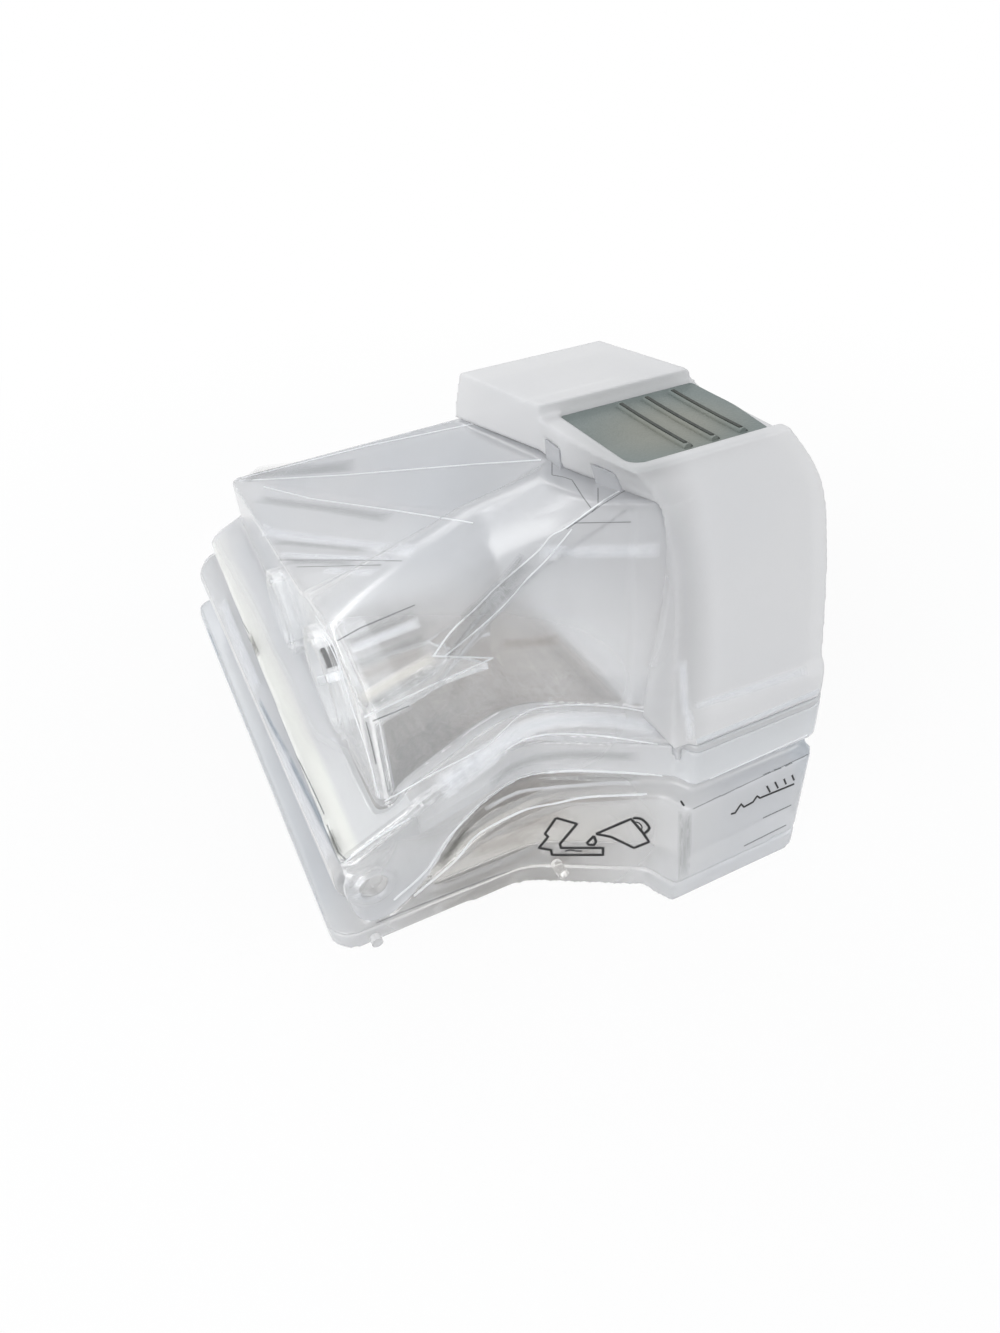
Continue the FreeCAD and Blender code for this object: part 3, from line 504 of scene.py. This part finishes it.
def curved(lines):
    """The lines with each row of corners turned into one smooth curve through them."""
    smooth = []
    for line in lines:
        spots = [Vector(corner) for corner in line]
        spots = [spots[0] * 2 - spots[1]] + spots + [spots[-1] * 2 - spots[-2]]
        curve = []
        for a, b, c, d in zip(spots, spots[1:], spots[2:], spots[3:]):
            for t in (i / CURVE_STEPS for i in range(CURVE_STEPS)):
                curve.append((b * 2 + (c - a) * t + (a * 2 - b * 5 + c * 4 - d) * t ** 2
                              + (b * 3 - a - c * 3 + d) * t ** 3) / 2)
        smooth.append(curve + [spots[-2]])
    return smooth


def unbroken(run):
    """The run cut wherever a step between its points is too long to follow the surface."""
    steps = [(b[0] - a[0]).length for a, b in zip(run, run[1:])]
    cuts = [i + 1 for i, step in enumerate(steps) if step > LONGEST_STEP]
    return [run[a:b] for a, b in zip([0] + cuts, cuts + [len(run)])]


def inside(point):
    """The point, kept within the object's own box."""
    return Vector(max(low, min(high, c)) for low, c, high in zip(cad_low, point, cad_high))


def strips(name, on, layers, material, root=STRIP_ROOT):
    """One piece of low strips. A layer is a run of skin points with its width and height in mm.

    on gives the skin that the strips sit on, the body they ride and their slot, which is not used.
    """
    _, body, slot = on
    points, faces = [], []
    for run, width, raised in layers:
        if len(run) < 2:
            continue
        first = len(points)
        for i, (place, normal) in enumerate(run):
            along = run[min(i + 1, len(run) - 1)][0] - run[max(i - 1, 0)][0]
            side = normal.cross(along).normalized() * (width * MM / 2)
            foot = place - normal * (root * MM)
            top = place + normal * (raised * MM)
            points += [foot - side, foot + side, top + side * STRIP_TOP, top - side * STRIP_TOP]
        for i in range(len(run) - 1):
            a = first + 4 * i
            faces += [(a + j, a + (j + 1) % 4, a + 4 + (j + 1) % 4, a + 4 + j) for j in range(4)]
        last = len(points) - 4
        faces += [(first + 3, first + 2, first + 1, first), (last, last + 1, last + 2, last + 3)]
    mesh = bpy.data.meshes.new(name)
    mesh.from_pydata([inside(point) for point in points], [], faces)
    mesh.materials.append(material)
    piece = bpy.data.objects.new(name, mesh)
    bpy.context.scene.collection.objects.link(piece)
    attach(piece, body)


def drawn(name, on, lines, material, width, raised, cling=False):
    """Lines on a skin, each given as the pixels where they show."""
    runs = [run for line in lines for run in unbroken(traced(on[0], line, LINE_PACE_PX, cling))]
    strips(name, on, [(run, width, raised) for run in runs], material)


def soft_bands(name, on, lines, material, width):
    """Bands with soft sides and ends, in layers that get narrower, shorter and a little higher."""
    lowest, step = BAND_RAISED
    layers = []
    for line in lines:
        for run in unbroken(traced(on[0], line, BAND_PACE_PX)):
            for k in range(BAND_LAYERS):
                share = 1.0 - k / BAND_LAYERS
                layers.append((run[k:len(run) - k], width * share, lowest + step * k))
    strips(name, on, layers, material)


# Every list below holds lines, as the pixels where the camera sees them in 1000 x 1333.
# The roof, its creases and the light and shade inside them:
ROOF_CREASES = [[(239, 481), (345, 475), (477, 464), (541, 460)],
                [(264, 487), (312, 499), (398, 511), (473, 523)],
                [(242, 478), (367, 446), (477, 423)]]
ROOF_SHADES = [[(279, 560), (341, 560), (402, 561)], [(297, 567), (381, 565)]]
ROOF_LIGHTS = [[(262, 531), (335, 541), (415, 551)], [(539, 553), (592, 552), (660, 551)]]
FAINT_LIGHTS = [[(280, 554), (335, 557), (390, 559)], [(325, 570), (375, 573)],
                [(350, 649), (419, 622)]]
# Painted shade: soft grey bands on the roof's facets and between the vault's edges.
ROOF_SHADE_BANDS = [[(257, 499), (335, 509), (390, 518)], [(243, 476), (356, 466)],
                [(440, 655), (470, 622), (505, 588), (530, 560)]]
FAINT_SHADE_BANDS = [[(274, 542), (335, 547), (370, 550)], [(285, 562), (320, 562), (355, 563)],
                 [(345, 645), (415, 615)], [(350, 668), (426, 639)], [(362, 709), (436, 668)]]
VAULT_BROWN = [[(356, 679), (428, 649)], [(500, 645), (560, 640)]]
VAULT_CREAM = [[(361, 700), (398, 678), (434, 657)]]
VANE_LINES = [[(365, 717), (428, 687), (493, 658)], [(432, 656), (493, 658)]]
# Painted dark lines that stand for refraction inside the vault.
VAULT_DARK_REFRACTIONS = [[(337, 641), (360, 628), (415, 605)], [(373, 721), (409, 706)]]
VAULT_EDGES = [[(631, 485), (603, 501), (567, 527), (551, 536), (537, 552), (500, 584),
                (477, 607), (451, 632), (433, 657)],
               [(572, 529), (548, 558), (528, 578), (504, 605), (477, 630), (444, 657)]]
VAULT_SHADES = [[(567, 529), (603, 504), (631, 487)], [(574, 523), (631, 522)]]
CLIP_SEAMS = [[(552, 457), (552, 475), (563, 477), (572, 480), (583, 497), (591, 508)],
              [(598, 488), (598, 506), (592, 512)]]
# The near wall, the ledge, the port, the cover's foot and the skirt, with their painted highlights
# and painted shade:
WALL_CORNER = [[(316, 616), (334, 647), (349, 699), (367, 752), (379, 798)],
               [(325, 636), (338, 664), (345, 695)]]
WALL_DARK = [[(366, 722), (372, 746), (376, 764)]]
PORT_DARK = [[(322, 649), (327, 659), (330, 668)]]
PORT_LIGHT = [[(318, 681), (337, 676)]]
COVER_LIP = [[(697, 742), (760, 716), (819, 691)]]
FOOT_LIGHTS = [[(695, 706), (752, 688), (807, 670)], [(683, 660), (685, 700), (690, 740)]]
SKIRT_LIGHTS = [[(696, 785), (752, 760), (807, 735)]]
LEDGE_LINES = [[(385, 801), (433, 774), (486, 746), (521, 715), (552, 706), (609, 706),
                (658, 715), (680, 726)],
               [(345, 862), (380, 836), (433, 805), (477, 774), (512, 746), (543, 735),
                (592, 735), (671, 746)]]
LID_UPRIGHTS = [[(451, 782), (452, 805)], [(419, 827), (421, 842), (424, 864)]]
LEDGE_BANDS = [[(440, 790), (478, 762), (516, 733), (552, 721), (606, 720), (660, 729)]]
STRIP_EDGES = [[(225, 587), (237, 611), (249, 634)], [(297, 757), (313, 790), (324, 814)],
               [(327, 825), (338, 852), (346, 860)]]
STRIP_DARKS = [[(249, 634), (258, 656)], [(329, 832), (339, 855)]]
STRIP_BLUES = [[(259, 700), (272, 726), (288, 756)],
               [(288, 756), (305, 790), (326, 830), (342, 862)]]
STRIP_LIGHTS = [[(222, 602), (238, 642), (258, 690)], [(276, 740), (300, 795), (330, 858)]]
EAR_LIGHTS = [[(354, 899), (365, 892), (382, 895)], [(356, 881), (366, 885), (374, 883)]]
SKIRT_LINES = [[(667, 776), (627, 773), (588, 771), (558, 772), (532, 776), (513, 784),
                (493, 796), (475, 811), (449, 837), (426, 871), (394, 900)]]
SKIRT_SHADES = [[(640, 757), (587, 755), (545, 757), (512, 768), (490, 784)]]
# The tub and its foot, with painted highlights and painted shade, and their real seams:
TUB_LINES = [[(647, 794), (588, 797), (558, 803), (528, 809), (501, 821), (475, 837),
              (455, 861), (414, 896)]]
FAINT_TUB_LINES = [[(640, 783), (607, 783), (568, 786), (528, 790), (509, 796), (485, 809)]]
TUB_SHADES = [[(640, 779), (580, 779), (540, 782)], [(685, 812), (684, 888)]]
TUB_BROWNS = [[(505, 834), (535, 823), (570, 818)], [(470, 852), (505, 843), (540, 838)]]
TUB_DARKS = [[(439, 866), (452, 849), (469, 828)]]
FOOT_SEAM = [[(643, 873), (566, 870)],
             [(548, 870), (519, 870), (501, 874), (469, 886), (415, 907), (376, 923)]]
BARREL_SHADE = [[(210, 628), (235, 688), (265, 757), (303, 846), (328, 912)]]
BARREL_LIGHT = [[(214, 626), (240, 688), (268, 752)]]
WALL_SEAM = [[(693, 809), (763, 776), (811, 753)]]
# The filling pictogram and the level marks:
MACHINE_AND_TRAY = [[(556, 818), (577, 824), (560, 844), (561, 848), (603, 848), (603, 855),
                     (552, 855), (551, 850), (539, 848), (548, 837), (545, 834), (556, 818)]]
WATER_LINE = [[(565, 851), (571, 850), (576, 851), (582, 851)]]
DROP = [[(594, 836), (587, 843), (589, 845), (594, 845), (596, 842), (594, 836)]]
JUG = [[(596, 834), (631, 819), (643, 833), (649, 842), (634, 848), (611, 837), (596, 834)]]
JUG_HANDLE = [[(633, 818), (641, 819), (647, 824), (649, 829), (644, 834)]]
JUG_GRIP = [[(634, 822), (639, 823), (642, 827), (641, 830)]]
FILL_WAVE = [[(731, 814), (735, 813), (741, 804), (744, 807), (753, 802), (757, 796),
              (760, 798), (794, 784)]]
FILL_TICKS = [[(767, 786), (770, 792)], [(775, 782), (778, 788)], [(784, 779), (786, 784)],
              [(792, 775), (794, 780)]]
GRADUATIONS = [[(763, 818), (791, 805)], [(744, 846), (786, 825)]]
DASHES = [[(763, 775), (770, 772)], [(774, 770), (781, 768)], [(785, 766), (792, 763)]]
SPECK = [[(681, 801), (684, 806)]]

# Where lines are drawn: the skin, the body that they ride and their slot.
ON_SHELL = (skin_of(SHELL), "lid", "clear")
ON_SKIRT = (skin_of(SKIRT), "lid", "clear")
ON_COVER = (skin_of(COVER), "lid", "frosted")
ON_PORT = (skin_of(SHELL, NODES["inlet_port_ring"], NODES["inlet_tube"]), "lid", "clear")
ON_HINGE = (skin_of(SHELL, SKIRT, NODES["hinge_seal_strip"]), "lid", "clear")
ON_PAD = (skin_of(NODES["grip_pad"]), "lid", "grip")
ON_TUB = (skin_of(TUB), "base", "clear")
ON_FOOT = (skin_of(FOOT), "base", "clear")
ON_BASE = (skin_of(TUB, FOOT), "base", "clear")
PRINTED = (ON_TUB[0], "base", "grip")

# Painted highlights along the roof's creases, the vault's edges and the vane seen through the wall;
# then painted shade lines, and the real seams around the cover's clips.
drawn("roof_creases", ON_SHELL, ROOF_CREASES + curved(VAULT_EDGES) + VANE_LINES, GLINT,
      width=0.32, raised=0.10)
drawn("roof_shades", ON_SHELL, ROOF_SHADES + VAULT_SHADES + CLIP_SEAMS, SHADE,
      width=0.22, raised=0.04)
# Soft bands of painted light and painted shade on the roof and vault, with painted brown and cream
# refraction in the vault.
soft_bands("roof_lights", ON_SHELL, ROOF_LIGHTS, SOFT_WHITE, width=3.2)
soft_bands("faint_lights", ON_SHELL, FAINT_LIGHTS, SOFT_WHITE, width=1.8)
soft_bands("roof_shade_bands", ON_SHELL, ROOF_SHADE_BANDS, SOFT_GREY, width=4.4)
soft_bands("faint_shade_bands", ON_SHELL, FAINT_SHADE_BANDS, SOFT_GREY, width=2.4)
soft_bands("vault_brown", ON_SHELL, VAULT_BROWN, SOFT_BROWN, width=3.0)
soft_bands("vault_cream", ON_SHELL, VAULT_CREAM, SOFT_CREAM, width=2.2)
# Painted dark refraction lines in the vault.
drawn("vault_dark_refractions", ON_SHELL, VAULT_DARK_REFRACTIONS, SHADE, width=0.24, raised=0.09)
# Painted highlights along the near wall's corner, the ledge and the lid's uprights, and a painted
# shade line by the corner.
drawn("wall_corner", ON_SHELL, curved(WALL_CORNER + LEDGE_LINES) + LID_UPRIGHTS, GLINT,
      width=0.30, raised=0.08)
drawn("wall_dark", ON_SHELL, WALL_DARK, SHADE, width=0.28, raised=0.04)
# A soft band of painted light along the ledge.
soft_bands("ledge_bands", ON_SHELL, curved(LEDGE_BANDS), SOFT_WHITE, width=4.4)
# On the hinge strip: painted shade lines along its edges, soft bands of painted light and painted
# bluish shade, painted dark shade at its slot and hook, and painted highlights on the ear.
drawn("strip_edges", ON_HINGE, STRIP_EDGES, SHADE, width=0.30, raised=0.04)
soft_bands("strip_lights", ON_BASE, STRIP_LIGHTS, SOFT_WHITE, width=3.0)
soft_bands("strip_blues", ON_BASE, STRIP_BLUES, SOFT_BLUE, width=1.6)
soft_bands("strip_darks", ON_HINGE, STRIP_DARKS, SOFT_DARK, width=1.4)
soft_bands("ear_lights", ON_SKIRT, EAR_LIGHTS, SOFT_WHITE, width=1.4)
# Painted shadow inside the inlet port's hole, and a painted highlight below it.
drawn("port_dark", ON_PORT, PORT_DARK, INK_AND_PORT_SHADOW, width=1.2, raised=0.05)
drawn("port_light", ON_PORT, PORT_LIGHT, GLINT, width=1.6, raised=0.05)
# Painted bluish light along the cover's lower lip, laid over the dark gap beneath it, and painted
# light on the cover's foot.
drawn("cover_lip", ON_COVER, COVER_LIP, BLUISH, width=1.3, raised=0.06)
soft_bands("foot_lights", ON_COVER, FOOT_LIGHTS, SOFT_WHITE, width=2.2)
# Painted highlights along the skirt's lower edge and its line below the cover, and painted shade
# above them.
drawn("skirt_edge", ON_SKIRT, curved(SKIRT_LINES), GLINT, width=0.62, raised=0.08, cling=True)
drawn("skirt_line", ON_SKIRT, SKIRT_LIGHTS, GLINT, width=0.42, raised=0.08)
soft_bands("skirt_shades", ON_SKIRT, curved(SKIRT_SHADES), SOFT_GREY, width=3.2)
# Painted highlights and soft painted light along the tub's walls, soft painted shade, brownish and
# dark painted shade, and the barrel's painted bluish shade and painted light.
drawn("tub_lines", ON_TUB, curved(TUB_LINES), GLINT, width=0.46, raised=0.10)
soft_bands("faint_tub_lines", ON_TUB, curved(FAINT_TUB_LINES), SOFT_WHITE, width=1.0)
soft_bands("tub_shade_bands", ON_TUB, TUB_SHADES, SOFT_GREY, width=2.6)
soft_bands("tub_browns", ON_TUB, curved(TUB_BROWNS), SOFT_BROWN, width=5.0)
soft_bands("tub_darks", ON_TUB, curved(TUB_DARKS), SOFT_DARK, width=2.2)
soft_bands("barrel_shade", ON_FOOT, BARREL_SHADE, SOFT_BLUE, width=2.2)
soft_bands("barrel_light", ON_FOOT, BARREL_LIGHT, SOFT_WHITE, width=2.2)
# Real seams of the tub's wall and foot.
drawn("tub_shades", ON_TUB, WALL_SEAM + curved(FOOT_SEAM), SHADE, width=0.24, raised=0.03)
drawn("filling_pictogram", PRINTED, MACHINE_AND_TRAY + DROP + JUG + curved(JUG_HANDLE), INK_AND_PORT_SHADOW,
      width=0.60, raised=0.10)
drawn("pictogram_details", PRINTED, curved(WATER_LINE + JUG_GRIP), INK_AND_PORT_SHADOW, width=0.28, raised=0.10)
drawn("level_marks", PRINTED, FILL_WAVE + FILL_TICKS + SPECK, INK_AND_PORT_SHADOW, width=0.46, raised=0.10)
drawn("level_lines", ON_TUB, GRADUATIONS + DASHES, SHADE, width=0.30, raised=0.07)

# Painted shadow along the pad's ridges, laid on their crests, in mm: a dark strip for each ridge's
# shaded side, with a short hook at its near end for its shaded end face.
RIDGES_X = (24.15, 29.25, 34.65)
RIDGE_Y = (-53.2, -33.8)
HOOK = (1.1, 0.3)
CREST_WIDTH = 0.95
CREST_RAISED = 0.06
CREST_ROOT = 0.35

ridge_shadow_lines = [[(x + HOOK[0], RIDGE_Y[0]), (x, RIDGE_Y[0] + HOOK[1]), (x, RIDGE_Y[1])]
          for x in RIDGES_X]
strips("ridge_shadows", ON_PAD,
       [(under(ON_PAD[0], crest), CREST_WIDTH, CREST_RAISED) for crest in ridge_shadow_lines],
       RIDGE_SHADOW, root=CREST_ROOT)

# ------------------------------------------------------------------ floor, world, lamps, camera
FLOOR_R = 3.0
FLOOR_DROP = 0.0002
SHADOW_REACH = (0.12, 0.34)    # the floor turns from paper to plain white between these
SHADOW_SHARE = 0.13            # how much of the paper shows beneath the object
ROOM_LIGHT = (0.97, 0.985, 1.0)
ROOM_STRENGTH = 0.58
SKY = ((0.0, 1.0), (0.12, 0.98), (0.35, 0.8), (0.7, 0.62), (1.0, 0.9))    # height, grey
LAMP_TARGET = Vector((0, 0, 0.03))
# Place and size in metres, power in watts.
LAMPS = (("key", (-0.9, -0.55, 0.75), (0.9, 0.8), 8.8),
         ("fill", (0.9, -0.6, 0.7), (0.8, 0.6), 4.3),
         ("back", (0.2, 1.0, 0.9), (1.0, 0.5), 3.2),
         ("strip", (-0.55, 0.35, 0.75), (0.9, 0.08), 1.4))
CLEAR_BOUNCES = 40             # enough to pass every wall of the tub
GLOSSY_BOUNCES = 16


def make_floor():
    """Pale paper that keeps the object's shadow and turns to plain white away from it."""
    mesh = bpy.data.meshes.new("floor")
    r = FLOOR_R
    mesh.from_pydata([(-r, -r, 0), (r, -r, 0), (r, r, 0), (-r, r, 0)], [], [(0, 1, 2, 3)])
    floor = bpy.data.objects.new("floor", mesh)
    bpy.context.scene.collection.objects.link(floor)
    floor.location.z = -FLOOR_DROP
    mat, nt, out = new_material("floor_white")
    paper = nt.nodes.new("ShaderNodeBsdfDiffuse")
    tones = [(0.3, grey(0.78)), (0.7, grey(0.80))]
    feed(nt, ramp(nt, noise(nt, 3.0), tones), paper.inputs["Color"])
    glow = nt.nodes.new("ShaderNodeEmission")
    path = nt.nodes.new("ShaderNodeLightPath")
    seen = maths(nt, "ADD", path.outputs["Is Camera Ray"], path.outputs["Is Glossy Ray"])
    seen = maths(nt, "ADD", seen, path.outputs["Is Transmission Ray"])
    place = nt.nodes.new("ShaderNodeVectorMath")
    place.operation = "LENGTH"
    feed(nt, object_place(nt), place.inputs[0])
    white = spread(nt, place.outputs["Value"], 1.0 - SHADOW_SHARE, 1.0, *SHADOW_REACH)
    share = maths(nt, "MULTIPLY", seen, white)
    surface = mix_shader(nt, share, paper.outputs["BSDF"], glow.outputs["Emission"])
    feed(nt, surface, out.inputs["Surface"])
    mesh.materials.append(mat)


def background(nt, colour, strength=1.0):
    node = nt.nodes.new("ShaderNodeBackground")
    node.inputs["Strength"].default_value = strength
    feed(nt, colour, node.inputs["Color"])
    return node.outputs["Background"]


def make_world():
    """Soft room light. The camera sees it white. Gloss and clear plastic see a studio's greys."""
    world = bpy.data.worlds.new("room")
    bpy.context.scene.world = world
    world.use_nodes = True
    nt = world.node_tree
    nt.nodes.clear()
    out = nt.nodes.new("ShaderNodeOutputWorld")
    place = nt.nodes.new("ShaderNodeTexCoord")
    split = nt.nodes.new("ShaderNodeSeparateXYZ")
    feed(nt, place.outputs["Generated"], split.inputs["Vector"])
    sky = ramp(nt, split.outputs["Z"], [(height, grey(tone)) for height, tone in SKY])
    path = nt.nodes.new("ShaderNodeLightPath")
    either = maths(nt, "ADD", path.outputs["Is Glossy Ray"], path.outputs["Is Transmission Ray"])
    light = background(nt, ROOM_LIGHT, ROOM_STRENGTH)
    unseen = mix_shader(nt, either, light, background(nt, sky))
    white = background(nt, grey(1.0))
    surface = mix_shader(nt, path.outputs["Is Camera Ray"], unseen, white)
    feed(nt, surface, out.inputs["Surface"])


def area_lamp(name, place, size, power):
    data = bpy.data.lights.new(name, "AREA")
    data.shape = "RECTANGLE"
    data.size, data.size_y = size
    data.energy = power
    lamp = bpy.data.objects.new(name, data)
    bpy.context.scene.collection.objects.link(lamp)
    lamp.location = place
    aim = LAMP_TARGET - Vector(place)
    lamp.rotation_euler = aim.to_track_quat("-Z", "Y").to_euler()


def make_camera():
    data = bpy.data.cameras.new("camera")
    data.sensor_width = SENSOR_MM
    data.lens = LENS_MM
    data.clip_start = 0.005
    data.clip_end = 50.0
    camera = bpy.data.objects.new("camera", data)
    bpy.context.scene.collection.objects.link(camera)
    turn = Matrix(camera_axes()).transposed().to_4x4()
    camera.matrix_world = Matrix.Translation(CAMERA_SPOT) @ turn
    bpy.context.scene.camera = camera


make_floor()
make_world()
for lamp in LAMPS:
    area_lamp(*lamp)
make_camera()

scene = bpy.context.scene
scene.view_settings.view_transform = "Standard"
scene.cycles.max_bounces = CLEAR_BOUNCES
scene.cycles.transmission_bounces = CLEAR_BOUNCES
scene.cycles.transparent_max_bounces = CLEAR_BOUNCES
scene.cycles.glossy_bounces = GLOSSY_BOUNCES
